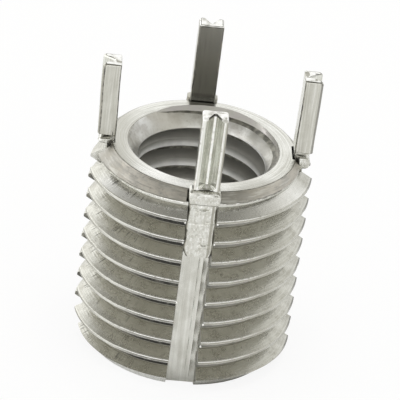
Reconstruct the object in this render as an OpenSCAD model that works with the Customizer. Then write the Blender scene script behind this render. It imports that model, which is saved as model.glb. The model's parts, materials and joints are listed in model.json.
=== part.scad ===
// Key-locking threaded insert: a short sleeve threaded outside and in, with four keys
// pressed into lengthwise slots. Millimetres. The sleeve stands on its plain end, the
// keys point up, +Z is the axis and the origin is the centre of the bottom face.

/* [Outside thread] */
// Diameter over the crests of the outside thread
outside_d = 12; // [11.6:0.1:13]
// Axial distance from one outside crest to the next
outside_pitch = 1.25; // [1:0.05:1.5]
// Height of the first whole crest's middle at the right-hand key
outside_start = 0.936; // [0.7:0.01:1.1]

/* [Inside thread] */
// Diameter over the roots of the inside thread
inside_d = 8; // [7.8:0.05:8.2]
// Axial distance from one inside groove to the next
inside_pitch = 1.25; // [1.25:0.05:1.5]
// Height of the first groove's middle at the right-hand key
inside_start = 0.495; // [0.3:0.01:0.7]

/* [Sleeve] */
// Length of the sleeve
sleeve_len = 12; // [10:0.5:16]
// Reach of the chamfer at the top end, along the axis and across it
top_chamfer = 1.0; // [0.7:0.05:1.2]
// Reach of the chamfer at the bottom end
bottom_chamfer = 0.85; // [0.6:0.05:1.1]

/* [Bore] */
// Diameter of the bore over the crests of the inside thread
bore_d = 6.9; // [6.65:0.05:7.1]
// Diameter of the countersunk mouth at the top face
mouth_d = 8.2; // [7.8:0.1:8.6]
// Depth of the countersunk mouth
mouth_depth = 0.9; // [0.6:0.02:1.2]
// Reach of the small chamfer at the bottom end of the bore
bore_foot_chamfer = 0.5; // [0.2:0.05:0.6]

/* [Slots] */
// Width of each of the four slots
slot_w = 1.5; // [1.3:0.05:1.7]
// Depth of each slot below the thread crests
slot_depth = 1.15; // [0.95:0.05:1.25]
// Extra width, each side, of the pocket that the key's collar fills
pocket_side = 0.14; // [0.1:0.01:0.18]
// Depth of that pocket below the top face
pocket_depth = 0.66; // [0.4:0.02:0.9]

/* [Keys] */
// How far a key stands above the sleeve
key_rise = 4.7; // [2.5:0.1:6]
// How far a key reaches down inside its slot
key_sunk = 3.85; // [2.5:0.05:5]
// Thickness of the standing bar, measured out from the axis
key_t = 0.98; // [0.8:0.02:1]
// Thickness of the part inside the slot
sunk_t = 0.5; // [0.4:0.02:0.6]
// Thickness of the upset collar between the two
collar_t = 0.82; // [0.64:0.02:0.86]
// Gap between a key and each wall of its slot
key_gap = 0.02; // [0.01:0.01:0.04]
// Amount by which the standing bar is narrower than the sunk part
bar_step = 0.1; // [0.04:0.02:0.16]
// Width of the V groove down the outer face of a key
groove_w = 0.92; // [0.6:0.02:0.96]
// Depth of that groove
groove_depth = 0.62; // [0.3:0.02:0.66]
// Height of the collar above the top face
collar_rise = 0.26; // [0.16:0.02:0.4]

/* [Hidden] */

past = 1;                      // how far a cutter runs past what it cuts
crest_r = outside_d / 2;
bore_r = bore_d / 2;
mouth_r = mouth_d / 2;
floor_r = crest_r - slot_depth;
lip_r = crest_r - top_chamfer;

// ISO metric form for both threads: flanks 60 degrees apart, ridge flats an eighth of
// the pitch. The outside thread is that ridge on a core, and the inside thread is cut by
// a core with the same ridge. The cutter's valley lies inside the bore, so the bore stays
// a true cylinder between the grooves.
flank_slope = tan(30);
outside_facets = 48;
inside_facets = 36;
root_r = crest_r - outside_pitch * 17 / 24 * sin(60);
inside_r = inside_d / 2;
inside_valley_r = bore_r - 0.06;

key_w = slot_w - 2 * key_gap;
bar_w = key_w - bar_step;
key_in = floor_r + key_gap;
key_out = key_in + key_t;
sunk_out = key_in + sunk_t;
collar_out = key_in + collar_t;
key_top = sleeve_len + key_rise;
key_foot = sleeve_len - key_sunk;
corner = 0.12;                 // blunted outer edges of a key, as small flats
groove_floor = 0.14;           // width of the flat at the bottom of the groove
groove_start = sleeve_len + collar_rise + 0.08;
groove_run_out = 0.34;         // length over which the groove fades at its lower end
collar_w = slot_w + 2 * pocket_side - 2 * key_gap;
collar_foot = sleeve_len - pocket_depth + key_gap;
collar_top = sleeve_len + collar_rise;
collar_round = 0.16;
bar_foot = collar_top - 0.06;  // the outer half of the bar overhangs the collar

// The four section points of a ridge, t turns up its screw line.
function section(low_r, high_r, pitch, start, t) =
  let (flat = pitch / 16, foot = flat + (high_r - low_r) * flank_slope)
  [for (p = [[low_r, -foot], [high_r, -flat], [high_r, flat], [low_r, foot]])
    [p[0] * cos(360 * t), p[0] * sin(360 * t), p[1] + start + pitch * t]];

// A round core with a right-handed ridge on it, longer than the sleeve at both ends. The
// section points of every step are joined to the next step's, and the flat between two
// turns joins each to the turn above it. Fans to a point on the axis close the two ends.
module threaded_core(low_r, high_r, pitch, start, facets) {
  first = -2;
  turns = ceil(sleeve_len / pitch) + 3;
  steps = turns * facets;
  rows = [for (i = [0 : steps]) each section(low_r, high_r, pitch, start, first + i / facets)];
  low_tip = len(rows);
  high_tip = low_tip + 1;
  last = 4 * steps;
  tips = [[0, 0, start + pitch * (first - 1)], [0, 0, start + pitch * (first + turns + 1)]];
  ridge = [for (i = [0 : steps - 1], j = [0 : 2])
    [4 * i + j, 4 * i + j + 1, 4 * i + j + 5, 4 * i + j + 4]];
  flats = [for (i = [0 : steps - facets - 1])
    [4 * i + 3, 4 * (i + facets), 4 * (i + 1 + facets), 4 * i + 7]];
  low_fan = [for (i = [0 : facets - 1]) [low_tip, 4 * i, 4 * (i + 1)]];
  low_wall = [for (j = [0 : 3]) [low_tip, j == 3 ? 4 * facets : j + 1, j]];
  high_fan = [for (i = [steps - facets : steps - 1]) [high_tip, 4 * i + 7, 4 * i + 3]];
  high_wall = [for (j = [0 : 3])
    [high_tip, j == 0 ? last - 4 * facets + 3 : last + j - 1, last + j]];
  polyhedron(
    points = concat(rows, tips),
    faces = concat(ridge, flats, low_fan, low_wall, high_fan, high_wall),
    convexity = 20
  );
}

// The turned blank: end chamfers, countersunk mouth and bore. Its outside stands clear
// of the crests, so only the chamfers trim the thread.
module turned_blank() {
  clear_r = crest_r + 0.4;
  rotate_extrude($fn = 96) polygon([
    [bore_r, bore_foot_chamfer],
    [bore_r + bore_foot_chamfer, 0],
    [crest_r - bottom_chamfer, 0],
    [clear_r, clear_r - crest_r + bottom_chamfer],
    [clear_r, sleeve_len - (clear_r - lip_r)],
    [lip_r, sleeve_len],
    [mouth_r, sleeve_len],
    [bore_r, sleeve_len - mouth_depth]
  ]);
}

// Turns its children to each of the four slot positions.
module each_slot() {
  for (a = [0 : 90 : 270]) rotate(a) children();
}

module slot() {
  reach = crest_r + past - floor_r;
  translate([floor_r, -slot_w / 2, -past]) cube([reach, slot_w, sleeve_len + 2 * past]);
}

// The slot mouth, forced wider by the collar of the key.
module collar_pocket() {
  w = slot_w + 2 * pocket_side;
  translate([floor_r, -w / 2, sleeve_len - pocket_depth])
    cube([crest_r + past - floor_r, w, pocket_depth + past]);
}

module insert_body() {
  color("#b9b1a3")
    difference() {
      intersection() {
        turned_blank();
        threaded_core(root_r, crest_r, outside_pitch, outside_start, outside_facets);
      }
      threaded_core(inside_valley_r, inside_r, inside_pitch, inside_start, inside_facets);
      each_slot() slot();
      each_slot() collar_pocket();
    }
}

// Outline of a key across its length, from its inner face to the radius out, with
// blunted outer edges.
module key_outline(w, out, blunt = corner) {
  polygon([
    [key_in, -w / 2],
    [out - blunt, -w / 2],
    [out, -w / 2 + blunt],
    [out, w / 2 - blunt],
    [out - blunt, w / 2],
    [key_in, w / 2]
  ]);
}

// Cutter for the V groove, fading out towards the collar.
module groove() {
  high = key_top + past - groove_start;
  spread = groove_w / 2 + past * (groove_w - groove_floor) / 2 / groove_depth;
  intersection() {
    translate([0, 0, groove_start]) linear_extrude(high) polygon([
      [key_out - groove_depth, -groove_floor / 2],
      [key_out + past, -spread],
      [key_out + past, spread],
      [key_out - groove_depth, groove_floor / 2]
    ]);
    rotate([90, 0, 0]) linear_extrude(4 * slot_w, center = true) polygon([
      [key_out, groove_start],
      [key_out + past + 0.1, groove_start],
      [key_out + past + 0.1, key_top + past],
      [key_out - groove_depth - 0.1, key_top + past],
      [key_out - groove_depth - 0.1, groove_start + groove_run_out]
    ]);
  }
}

// The upset ring of metal round the key where it enters the sleeve.
module collar() {
  c = collar_round;
  intersection() {
    translate([0, 0, collar_foot]) linear_extrude(collar_top - collar_foot)
      key_outline(collar_w, collar_out, c);
    rotate([90, 0, 90]) linear_extrude(crest_r + past) polygon([
      [-collar_w / 2, collar_foot],
      [collar_w / 2, collar_foot],
      [collar_w / 2, collar_top - c],
      [collar_w / 2 - c, collar_top],
      [-collar_w / 2 + c, collar_top],
      [-collar_w / 2, collar_top - c]
    ]);
  }
}

module key(angle) {
  color("#a9a39a") rotate(angle)
    difference() {
      union() {
        translate([0, 0, key_foot])
          linear_extrude(collar_foot + collar_round - key_foot) key_outline(key_w, sunk_out);
        translate([0, 0, bar_foot])
          linear_extrude(key_top - bar_foot) key_outline(bar_w, key_out);
        collar();
      }
      groove();
    }
}

module key_front() { key(-90); }
module key_right() { key(0); }
module key_back() { key(90); }
module key_left() { key(180); }

insert_body();
key_front();
key_right();
key_back();
key_left();
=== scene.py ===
"""Key-locking threaded insert: the looks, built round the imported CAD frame.

A turned stainless sleeve with an outside and an inside thread, and four drawn stainless
keys staked into its slots. Lengths are in millimetres until a mesh is made. A direction
round the axis is an angle from the right-hand key, anticlockwise seen from above.
"""

import json
from math import ceil, cos, dist, exp, hypot, pi, radians, sin, sqrt, tan

import bmesh
import bpy
from mathutils import Matrix, Vector, noise


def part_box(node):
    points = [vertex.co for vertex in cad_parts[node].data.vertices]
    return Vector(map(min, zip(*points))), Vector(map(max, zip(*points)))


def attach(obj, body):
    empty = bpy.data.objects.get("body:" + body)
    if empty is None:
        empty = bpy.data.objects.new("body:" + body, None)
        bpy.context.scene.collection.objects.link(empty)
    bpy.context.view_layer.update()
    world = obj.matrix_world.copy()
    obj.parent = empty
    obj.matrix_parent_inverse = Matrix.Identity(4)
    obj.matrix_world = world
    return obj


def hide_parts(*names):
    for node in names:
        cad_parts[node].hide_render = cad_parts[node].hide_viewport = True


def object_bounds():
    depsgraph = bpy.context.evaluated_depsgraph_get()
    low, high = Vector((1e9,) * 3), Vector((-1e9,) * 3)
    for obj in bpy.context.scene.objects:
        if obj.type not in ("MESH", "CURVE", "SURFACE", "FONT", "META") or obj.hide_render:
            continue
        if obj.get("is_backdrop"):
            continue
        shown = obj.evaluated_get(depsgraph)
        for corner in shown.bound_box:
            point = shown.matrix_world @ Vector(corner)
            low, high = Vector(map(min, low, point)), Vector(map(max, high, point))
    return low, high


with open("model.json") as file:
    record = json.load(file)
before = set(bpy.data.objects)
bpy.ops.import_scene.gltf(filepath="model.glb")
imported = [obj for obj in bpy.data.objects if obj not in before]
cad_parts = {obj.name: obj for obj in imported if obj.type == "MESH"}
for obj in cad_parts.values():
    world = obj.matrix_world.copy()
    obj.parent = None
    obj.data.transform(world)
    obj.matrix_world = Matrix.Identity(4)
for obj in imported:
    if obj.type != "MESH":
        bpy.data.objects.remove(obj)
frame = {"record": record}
cad_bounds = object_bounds()

MM = 0.001
TAU = 2 * pi


def box_mm(node):
    """Lowest and highest corners of a CAD node, in millimetres."""
    low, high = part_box(node)
    return Vector(low) / MM, Vector(high) / MM


# -------- sizes (millimetres)

SLEEVE_LOW, SLEEVE_HIGH = box_mm("insert_body")
SLEEVE_LENGTH = SLEEVE_HIGH.z
KEY_LOW, KEY_HIGH = box_mm("key_right")
KEY_ANGLES = {"key_right": 0, "key_back": 90, "key_left": 180, "key_front": 270}

SLOT_WIDTH = 1.5
SLOT_HALF = SLOT_WIDTH / 2
SLOT_FLARE = 0.045          # extra half width of a slot out at the crests
KEY_CLEARANCE = 0.02
SLOT_FLOOR_R = KEY_LOW.x - KEY_CLEARANCE
POCKET_DEPTH = 0.66
POCKET_SIDE = 0.14
POCKET_FLOOR = 0.09         # how much deeper the slot is where the collar fills it
POCKET_Z = SLEEVE_LENGTH - POCKET_DEPTH
FRONT_SHIFT = -0.045        # the front slot stands this far off centre
UNSHADED_FROM = 9.9            # the left slot's walls are painted light instead of shade above this height

PITCH = 1.25                # both threads
CREST_FLAT = PITCH / 16     # half the flat on a crest
FLANK = tan(radians(30))
CREST_R = hypot(SLEEVE_HIGH.x, SLOT_HALF)
OUTSIDE_ROOT_R = CREST_R - PITCH * 17 / 24 * sin(radians(60))
OUTSIDE_START = 0.936       # height of a crest's middle at the right-hand key
LAST_TURN = 9               # the turn that the top chamfer clips
BORE_R = next(m["dims"]["r_mm"] for m in frame["record"]["mounts"] if m["kind"] == "threaded_hole")
INSIDE_R = 4.0
INSIDE_VALLEY_R = BORE_R - 0.06
INSIDE_START = 0.495        # height of a groove's middle at the right-hand key

TOP_CHAMFER = 1.0
BOTTOM_CHAMFER = 0.85
BORE_FOOT_CHAMFER = 0.5
LIP_R = CREST_R - TOP_CHAMFER
FOOT_R = CREST_R - BOTTOM_CHAMFER
CLEAR_R = CREST_R + 0.4     # outside of the blank, clear of the crests
MOUTH_R = 4.1
MOUTH_DEPTH = 0.9
MOUTH_FOOT = 11.07          # where the inside thread begins
MOUTH_STEP_R = 4.07

KEY_IN_R = KEY_LOW.x
SUNK_OUT_R = KEY_IN_R + 0.5
COLLAR_OUT_R = KEY_IN_R + 0.82
KEY_OUT_R = KEY_IN_R + 0.98
SUNK_HALF = SLOT_HALF - KEY_CLEARANCE
BAR_HALF = SUNK_HALF - 0.05
COLLAR_HALF = SUNK_HALF + POCKET_SIDE
COLLAR_FOOT = POCKET_Z + KEY_CLEARANCE
COLLAR_HEAD = 12.24
BAR_FOOT = 12.36            # where the bar stands clear of the upset metal
LEDGE_Z = SLEEVE_LENGTH + 0.44  # outer edge of the ledge where the bar overhangs
GROOVE_DEPTH = 0.62
GROOVE_HALF = 0.46
GROOVE_FLOOR = 0.06         # half the width of the flat at its bottom
WAIST = 0.08                # how far a bar's sides draw in between these heights
WAIST_FOOT, WAIST_HEAD = 12.16, 12.42
LEAN_FOOT, LEAN_HEAD = 12.0, 16.2   # a leaning bar is bent between these heights
TIP_LENGTH = 0.16           # length over which the sheared end is rounded
TIP_SIDE, TIP_OUT = 0.05, 0.13      # how far its sides and its outer face draw in
RIM_DROP = 0.045            # from the top of a key down to its rim
CAP_RINGS = 16              # rings across a sheared end
CAP_STEP = 0.06             # each ring is smaller by this part of the rim
CAP_CENTRE_R = KEY_IN_R + 0.2

SHARP_FROM = 32             # edges keep crisp from this angle, in degrees


# -------- shader toolkit

def both_ways(operation):
    """An operator and its reflected form, each as one Math node."""
    def plain(wire, other):
        return wire.maths(operation, wire, other)

    def reflected(wire, other):
        return wire.maths(operation, other, wire)
    return plain, reflected


class Wire:
    """A shader socket that takes part in arithmetic: each operator adds a Math node."""

    def __init__(self, tree, socket):
        self.tree = tree
        self.socket = socket

    def maths(self, operation, *values):
        sockets = dict(enumerate(values))
        return self.tree.add("ShaderNodeMath", {"operation": operation}, sockets)

    __add__, __radd__ = both_ways("ADD")
    __sub__, __rsub__ = both_ways("SUBTRACT")
    __mul__, __rmul__ = both_ways("MULTIPLY")
    __truediv__, __rtruediv__ = both_ways("DIVIDE")
    __pow__, __rpow__ = both_ways("POWER")

    def sine(self):
        return self.maths("SINE", self)

    def cosine(self):
        return self.maths("COSINE", self)

    def ramp(self, low, high):
        """0 below low, 1 above high, eased in between."""
        sockets = {"Value": self, "From Min": low, "From Max": high}
        settings = {"interpolation_type": "SMOOTHSTEP"}
        return self.tree.add("ShaderNodeMapRange", settings, sockets)


class ShaderTree:
    """A tree of shader nodes under construction."""

    def __init__(self, tree):
        self.tree = tree
        tree.nodes.clear()

    def add(self, kind, settings=None, sockets=None, out=0):
        """Adds a node: its settings first, then the values or wires of its sockets."""
        node = self.tree.nodes.new(kind)
        for name, value in (settings or {}).items():
            if name == "stops":
                fill_ramp(node.color_ramp, value)
            else:
                setattr(node, name, value)
        for name, value in (sockets or {}).items():
            if isinstance(value, Wire):
                self.tree.links.new(value.socket, node.inputs[name])
            else:
                node.inputs[name].default_value = value
        return None if out is None else Wire(self, node.outputs[out])

    def mix(self, factor, a, b):
        """Blends two colours."""
        return self.add("ShaderNodeMix", {"data_type": "RGBA"}, {0: factor, 6: a, 7: b}, out=2)

    def coats(self, colour, *layers):
        """Lays (factor, colour) layers over a colour, one after another."""
        for factor, layer in layers:
            colour = self.mix(factor, colour, layer)
        return colour

    def vector(self, x, y, z):
        return self.add("ShaderNodeCombineXYZ", None, {0: x, 1: y, 2: z})

    def noise(self, x, y, z, scale=1.0, detail=3.0, rough=0.5):
        sockets = {
            "Vector": self.vector(x, y, z), "Scale": scale, "Detail": detail, "Roughness": rough}
        return self.add("ShaderNodeTexNoise", None, sockets)

    def camera_ray(self):
        return self.add("ShaderNodeLightPath", None, None, out="Is Camera Ray")


class Finish(ShaderTree):
    """A material under construction."""

    def __init__(self, name):
        self.material = bpy.data.materials.new(name)
        self.material.use_nodes = True
        super().__init__(self.material.node_tree)

    def places(self):
        """Object coordinates in millimetres: x, y, z, and the distance from the axis."""
        coordinates = self.add("ShaderNodeTexCoord", None, None, out="Object")
        scaled = self.add(
            "ShaderNodeVectorMath", {"operation": "SCALE"}, {0: coordinates, "Scale": 1 / MM})
        x, y, z = (
            self.add("ShaderNodeSeparateXYZ", None, {0: scaled}, out=axis) for axis in "XYZ")
        return x, y, z, (x * x + y * y) ** 0.5

    def helix_phase(self, x, y, z, start):
        """Angle round a thread's own profile: 0 on the line that starts at the given height."""
        angle = self.add("ShaderNodeMath", {"operation": "ARCTAN2"}, {0: y, 1: x})
        return (z - start) * (TAU / PITCH) - angle, angle

    def metal(self, colour, roughness, height, distance, strength=0.7, metallic=1.0):
        """Closes the material as bare metal, or as rough broken metal where metallic is low.

        The height is embossed over a distance in millimetres.
        """
        sockets = {"Height": height, "Distance": distance * MM, "Strength": strength}
        normal = self.add("ShaderNodeBump", None, sockets)
        sockets = {
            "Base Color": colour, "Metallic": metallic, "Roughness": roughness, "Normal": normal}
        shader = self.add("ShaderNodeBsdfPrincipled", None, sockets)
        self.add("ShaderNodeOutputMaterial", None, {"Surface": shader}, out=None)
        return self.material


def finish(recipe):
    """Makes a recipe for a material's nodes into a function of its name and own settings."""
    def make(name, *settings, **more):
        f = Finish(name)
        return recipe(f, *f.places(), *settings, **more)
    return make


def fill_ramp(ramp, stops):
    while len(ramp.elements) < len(stops):
        ramp.elements.new(0.5)
    for element, (position, colour) in zip(ramp.elements, stops):
        element.position = position
        element.color = colour


# -------- finishes

STEEL = (0.60, 0.595, 0.545, 1)
STEEL_LIGHT = (0.72, 0.72, 0.68, 1)
STEEL_DULL = (0.42, 0.41, 0.36, 1)
# Near white for burnished lines and marks, and for painted highlights and painted light.
BURNISHED_AND_HIGHLIGHT = (0.93, 0.93, 0.91, 1)
LAND_LIGHT = (0.78, 0.79, 0.74, 1)
CREST_DULL = (0.28, 0.275, 0.25, 1)
TAN = (0.45, 0.425, 0.37, 1)
TAN_LIGHT = (0.78, 0.74, 0.67, 1)
CHAMFER_GREY = (0.43, 0.42, 0.39, 1)
MAUVE = (0.60, 0.575, 0.56, 1)
SOFT_SHADE = (0.31, 0.305, 0.28, 1)
# Dark grey for real specks and chatter marks, and for painted shade on the chamfer and in corners,
# roots and gaps.
MARK_AND_SHADE_GREY = (0.20, 0.197, 0.18, 1)
SHADE = (0.13, 0.128, 0.118, 1)
INK = (0.05, 0.049, 0.045, 1)


@finish
def turned_thread(f, x, y, z, r):
    """Single-point cut thread: fine marks that run along the helix, and chatter across."""
    phase, angle = f.helix_phase(x, y, z, OUTSIDE_START)
    up, across = phase.sine(), phase.cosine()
    marks = f.noise(r * 15.0, up * 2.2 + x * 0.7, across * 2.2 + y * 0.7, detail=2.0)
    patches = f.noise(x * 1.4, y * 1.4, z * 2.2, detail=4.0, rough=0.65)
    specks = f.noise(x, y, z, scale=7.0, rough=0.7)
    chatter = f.noise(angle * 62.0, r * 0.7, z * 0.8, detail=1.0)
    struck = f.noise(x * 0.8, y * 0.8, z * 0.9).ramp(0.46, 0.56)
    struck = struck * x.ramp(-2.0, -3.6) * r.ramp(5.75, 5.6)
    under_last_ridge = z.ramp(10.25, 10.45) * y.ramp(-1.5, -3.0)
    colour = f.coats(
        STEEL,
        (patches.ramp(0.35, 0.7) * 0.8, STEEL_DULL),
        (marks.ramp(0.5, 0.75) * 0.5, STEEL_LIGHT),
        # Painted light: a lighter band on the right, painted shade at the front left beside the
        # front slot, and painted light on the flank under the clipped last ridge.
        (x.ramp(2.4, 3.4) * x.ramp(5.0, 4.2) * 0.45, STEEL_LIGHT),
        (x.ramp(-0.8, -1.4) * x.ramp(-3.4, -2.6) * 0.4, STEEL_DULL),
        (under_last_ridge * 0.75, BURNISHED_AND_HIGHLIGHT),
        (specks.ramp(0.62, 0.74) * 0.6, MARK_AND_SHADE_GREY),
        (chatter.ramp(0.54, 0.64) * struck * 0.8, MARK_AND_SHADE_GREY))
    height = marks * 0.7 + specks * 0.6 + chatter * struck * 0.8
    return f.metal(colour, patches * 0.14 + specks * 0.1 + 0.14, height, 0.012, 0.8)


@finish
def crest_flat(f, x, y, z, r):
    """What is left of the bar's own surface on the crests, with painted light: darker in front,
    lighter towards the sides and on the right, and painted shade at the far sides and the
    right-hand edge.
    """
    sideways = (x * x) / (r * r)
    right = x.ramp(0.0, 1.5)
    grain_marks = f.noise(x * 3.0, y * 3.0, z * 12.0)
    colour = f.coats(
        f.mix(right, CREST_DULL, STEEL_DULL),
        ((sideways - right * 0.25).ramp(0.12, 0.5), STEEL_LIGHT),
        (sideways.ramp(0.55, 0.90) * 0.9, STEEL_DULL),
        (grain_marks.ramp(0.54, 0.8) * 0.45, BURNISHED_AND_HIGHLIGHT),
        (x.ramp(5.45, 5.85) * 0.85, SHADE))
    return f.metal(colour, grain_marks * 0.2 + 0.15, grain_marks, 0.02)


@finish
def edge_highlight(f, x, y, z, r):
    """Edges painted bright as a highlight, brightest in front and broken here and there, with
    painted shade at the right-hand edge and in a stretch near the top, right of the front.
    """
    sideways = (x * x) / (r * r)
    breaks = f.noise(x, y, z, scale=4.5, rough=0.6)
    clipped = z.ramp(11.15, 11.3) * x.ramp(0.6, 1.2)
    colour = f.coats(
        BURNISHED_AND_HIGHLIGHT,
        (sideways.ramp(0.1, 0.5), STEEL),
        (breaks.ramp(0.52, 0.72) * 0.75, STEEL_DULL),
        (x.ramp(5.45, 5.85) * 0.7, SHADE),
        (clipped * breaks.ramp(0.40, 0.52), SOFT_SHADE))
    return f.metal(colour, breaks * 0.2 + 0.12, breaks, 0.015)


@finish
def thread_root(f, x, y, z, r):
    """The bottom of the outside thread: shaded under each ridge, most near the front key."""
    phase, _ = f.helix_phase(x, y, z, OUTSIDE_START)
    cloud = f.noise(x, y, z, scale=3.0)
    colour = f.coats(
        INK,
        (x.ramp(-2.2, -4.6), STEEL_DULL),
        (x.ramp(-0.6, 2.0), SOFT_SHADE),
        (phase.sine().ramp(0.30, 0.50), STEEL_DULL),
        (z.ramp(10.3, 10.7), STEEL_LIGHT),
        (cloud.ramp(0.5, 0.75) * 0.25, STEEL_DULL))
    return f.metal(colour, cloud * 0.2 + 0.25, cloud, 0.01, 0.6)


@finish
def bore_thread(f, x, y, z, r):
    """Tapped thread in the bore: painted shade in the grooves, and a painted highlight that grows
    lighter down to each crest.
    """
    phase, _ = f.helix_phase(x, y, z, INSIDE_START)
    up, across = phase.sine(), phase.cosine()
    marks = f.noise(r * 9.0, up * 1.6, across * 1.6, detail=2.0)
    patches = f.noise(x * 1.2, y * 1.2, z * 0.8, rough=0.6)
    colour = f.coats(
        SOFT_SHADE,
        (across.ramp(-0.30, -0.45) * up.ramp(-1.0, 0.9), BURNISHED_AND_HIGHLIGHT),
        (across.ramp(0.88, 0.96), SHADE),
        (patches.ramp(0.4, 0.7) * 0.15, SHADE))
    return f.metal(colour, patches * 0.1 + 0.3, marks, 0.004, 0.4, metallic=0.4)


@finish
def clouded_shade(f, x, y, z, r, tone):
    """Painted shade for corners, roots, gaps and outlines: the tone clouded towards dull steel."""
    cloud = f.noise(x, y, z, scale=3.0)
    colour = f.mix(cloud.ramp(0.35, 0.7), tone, STEEL_DULL)
    return f.metal(colour, cloud * 0.2 + 0.25, cloud, 0.01, 0.6)


@finish
def faced_ring(f, x, y, z, r):
    """Lathe-faced surfaces: fine rings round the axis, with a painted highlight at the front left,
    painted shade at the front right and on the left, and a painted reflection of the back key's
    dark face at its foot.
    """
    rings = f.noise(r * 17.0, z * 17.0, (x + y) * 0.2, detail=4.0, rough=0.7)
    patches = f.noise(x * 1.1, y * 1.1, z * 1.1, detail=4.0, rough=0.6)
    specks = f.noise(x, y, z, scale=6.0, rough=0.7)
    steel = f.mix(patches.ramp(0.4, 0.7) * 0.4, STEEL_LIGHT, STEEL)
    colour = f.coats(
        f.mix(rings.ramp(0.36, 0.5) * 0.6 + 0.4, STEEL_DULL, steel),
        (rings.ramp(0.54, 0.66) * 0.7, BURNISHED_AND_HIGHLIGHT),
        (specks.ramp(0.64, 0.76) * 0.4, STEEL_DULL),
        # Painted light: a highlight at the front left, shade at the front right and on the left,
        # and the back key's dark face reflected at its foot.
        (y.ramp(-2.6, -3.8) * x.ramp(0.5, -1.5) * 0.7, BURNISHED_AND_HIGHLIGHT),
        (y.ramp(-2.8, -3.8) * x.ramp(1.0, 2.2) * 0.55, STEEL_DULL),
        (x.ramp(-3.2, -4.5) * 0.65, STEEL_DULL),
        ((x * x).ramp(0.58, 0.48) * y.ramp(4.30, 4.42) * 0.75, SHADE))
    return f.metal(colour, patches * 0.1 + rings * 0.1 + 0.12, rings + specks * 0.3, 0.014, 0.8)


@finish
def dull_turned(f, x, y, z, r, tone, light, metallic=1.0):
    """A dull turned surface, clouded and a little torn, without rings."""
    clouds = f.noise(x * 1.2, y * 1.2, z * 2.0, detail=4.0, rough=0.6)
    torn = f.noise(x, y, z, scale=5.0, detail=4.0, rough=0.65)
    colour = f.coats(
        tone,
        (clouds.ramp(0.35, 0.7), light),
        (torn.ramp(0.58, 0.74) * 0.5, STEEL_DULL))
    return f.metal(colour, clouds * 0.12 + torn * 0.1 + 0.24, torn, 0.012, metallic=metallic)


@finish
def top_chamfer(f, x, y, z, r):
    """The chamfer at the top: dull and torn along its length, with painted light at the front left
    and on the right, and painted shade at the far left and a little right of the middle.
    """
    clouds = f.noise(x * 1.2, y * 1.2, z * 2.0, detail=4.0, rough=0.6)
    streaks = f.noise(r * 12.0, x * 0.9, y * 0.9, rough=0.6)
    torn = f.noise(x, y, z, scale=6.0, detail=4.0, rough=0.7)
    colour = f.coats(
        TAN,
        (x.ramp(0.4, -1.8) * x.ramp(-4.7, -3.9), TAN_LIGHT),
        (x.ramp(2.2, 4.0) * 0.4, TAN_LIGHT),
        (x.ramp(-4.6, -5.2) * 0.4, MARK_AND_SHADE_GREY),
        (x.ramp(0.2, 1.0) * x.ramp(2.4, 1.8) * 0.35, MARK_AND_SHADE_GREY),
        (clouds.ramp(0.35, 0.7) * 0.8, CHAMFER_GREY),
        (streaks.ramp(0.52, 0.68) * 0.5, STEEL_LIGHT),
        (streaks.ramp(0.46, 0.34) * 0.5, SOFT_SHADE),
        (torn.ramp(0.58, 0.70) * 0.6, SOFT_SHADE))
    return f.metal(colour, clouds * 0.12 + torn * 0.1 + 0.24, torn + streaks * 0.6, 0.014, 0.8)


@finish
def mouth_cone(f, x, y, z, r):
    """The countersunk mouth: clouded and a little torn, with painted highlights at the sides and
    the back right, and painted shade to the right and at the back left.
    """
    clouds = f.noise(x * 1.3, y * 1.3, z * 2.0, detail=4.0, rough=0.65)
    torn = f.noise(x, y, z, scale=6.0, detail=4.0, rough=0.7)
    right = x.ramp(2.2, 2.9) * y.ramp(0.4, 1.4) * y.ramp(3.0, 2.4)
    colour = f.coats(
        STEEL_LIGHT,
        ((x * x).ramp(6.0, 11.5), BURNISHED_AND_HIGHLIGHT),
        (x.ramp(0.6, 1.4) * y.ramp(2.3, 3.0), BURNISHED_AND_HIGHLIGHT),
        (clouds.ramp(0.35, 0.65) * 0.5, TAN),
        (right * 0.8, CREST_DULL),
        (y.ramp(2.2, 3.0) * x.ramp(-0.4, -1.4) * 0.6, TAN),
        (torn.ramp(0.54, 0.70) * 0.5, TAN))
    return f.metal(colour, clouds * 0.12 + torn * 0.1 + 0.22, torn, 0.014, 0.8)


@finish
def inner_face(f, x, y, z, r):
    """The faces towards the axis: bright, with painted shade over the back key's face, darker
    towards the top, at its foot and along its edges.
    """
    lines = f.noise(x * 9.0, y * 9.0, z * 0.3, rough=0.6)
    # Painted shade for the back key's face.
    back_shade = f.coats(
        STEEL_DULL,
        (z.ramp(14.2, 15.6), SOFT_SHADE),
        (z.ramp(12.60, 12.35) * 0.6, SHADE),
        ((x * x).ramp(0.32, 0.44) * 0.75, INK),
        (lines.ramp(0.48, 0.66) * 0.3, STEEL_DULL),
        (lines.ramp(0.46, 0.32) * 0.25, INK))
    bright = f.mix(lines.ramp(0.50, 0.66) * 0.3, STEEL_LIGHT, BURNISHED_AND_HIGHLIGHT)
    colour = f.mix(y.ramp(2.0, 3.5), bright, back_shade)
    return f.metal(colour, lines * 0.1 + 0.2, lines, 0.006)


@finish
def drawn_lines(f, x, y, z, r, tone, strength):
    """Drawn or broached metal: fine lines along the axis, small scuffs across."""
    lines = f.noise(x * 9.0, y * 9.0, z * 0.3, rough=0.6)
    patches = f.noise(x * 1.3, y * 1.3, z * 0.9)
    specks = f.noise(x, y, z, scale=6.0, rough=0.7)
    colour = f.coats(
        tone,
        (patches.ramp(0.4, 0.7) * 0.4, STEEL_DULL),
        (lines.ramp(0.50, 0.66) * strength, BURNISHED_AND_HIGHLIGHT),
        (lines.ramp(0.50, 0.36) * strength, STEEL_DULL),
        (specks.ramp(0.64, 0.76) * strength, STEEL_DULL))
    height = lines * strength + specks * 0.3
    return f.metal(colour, patches * 0.1 + specks * 0.06 + 0.16, height, 0.010)


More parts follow.
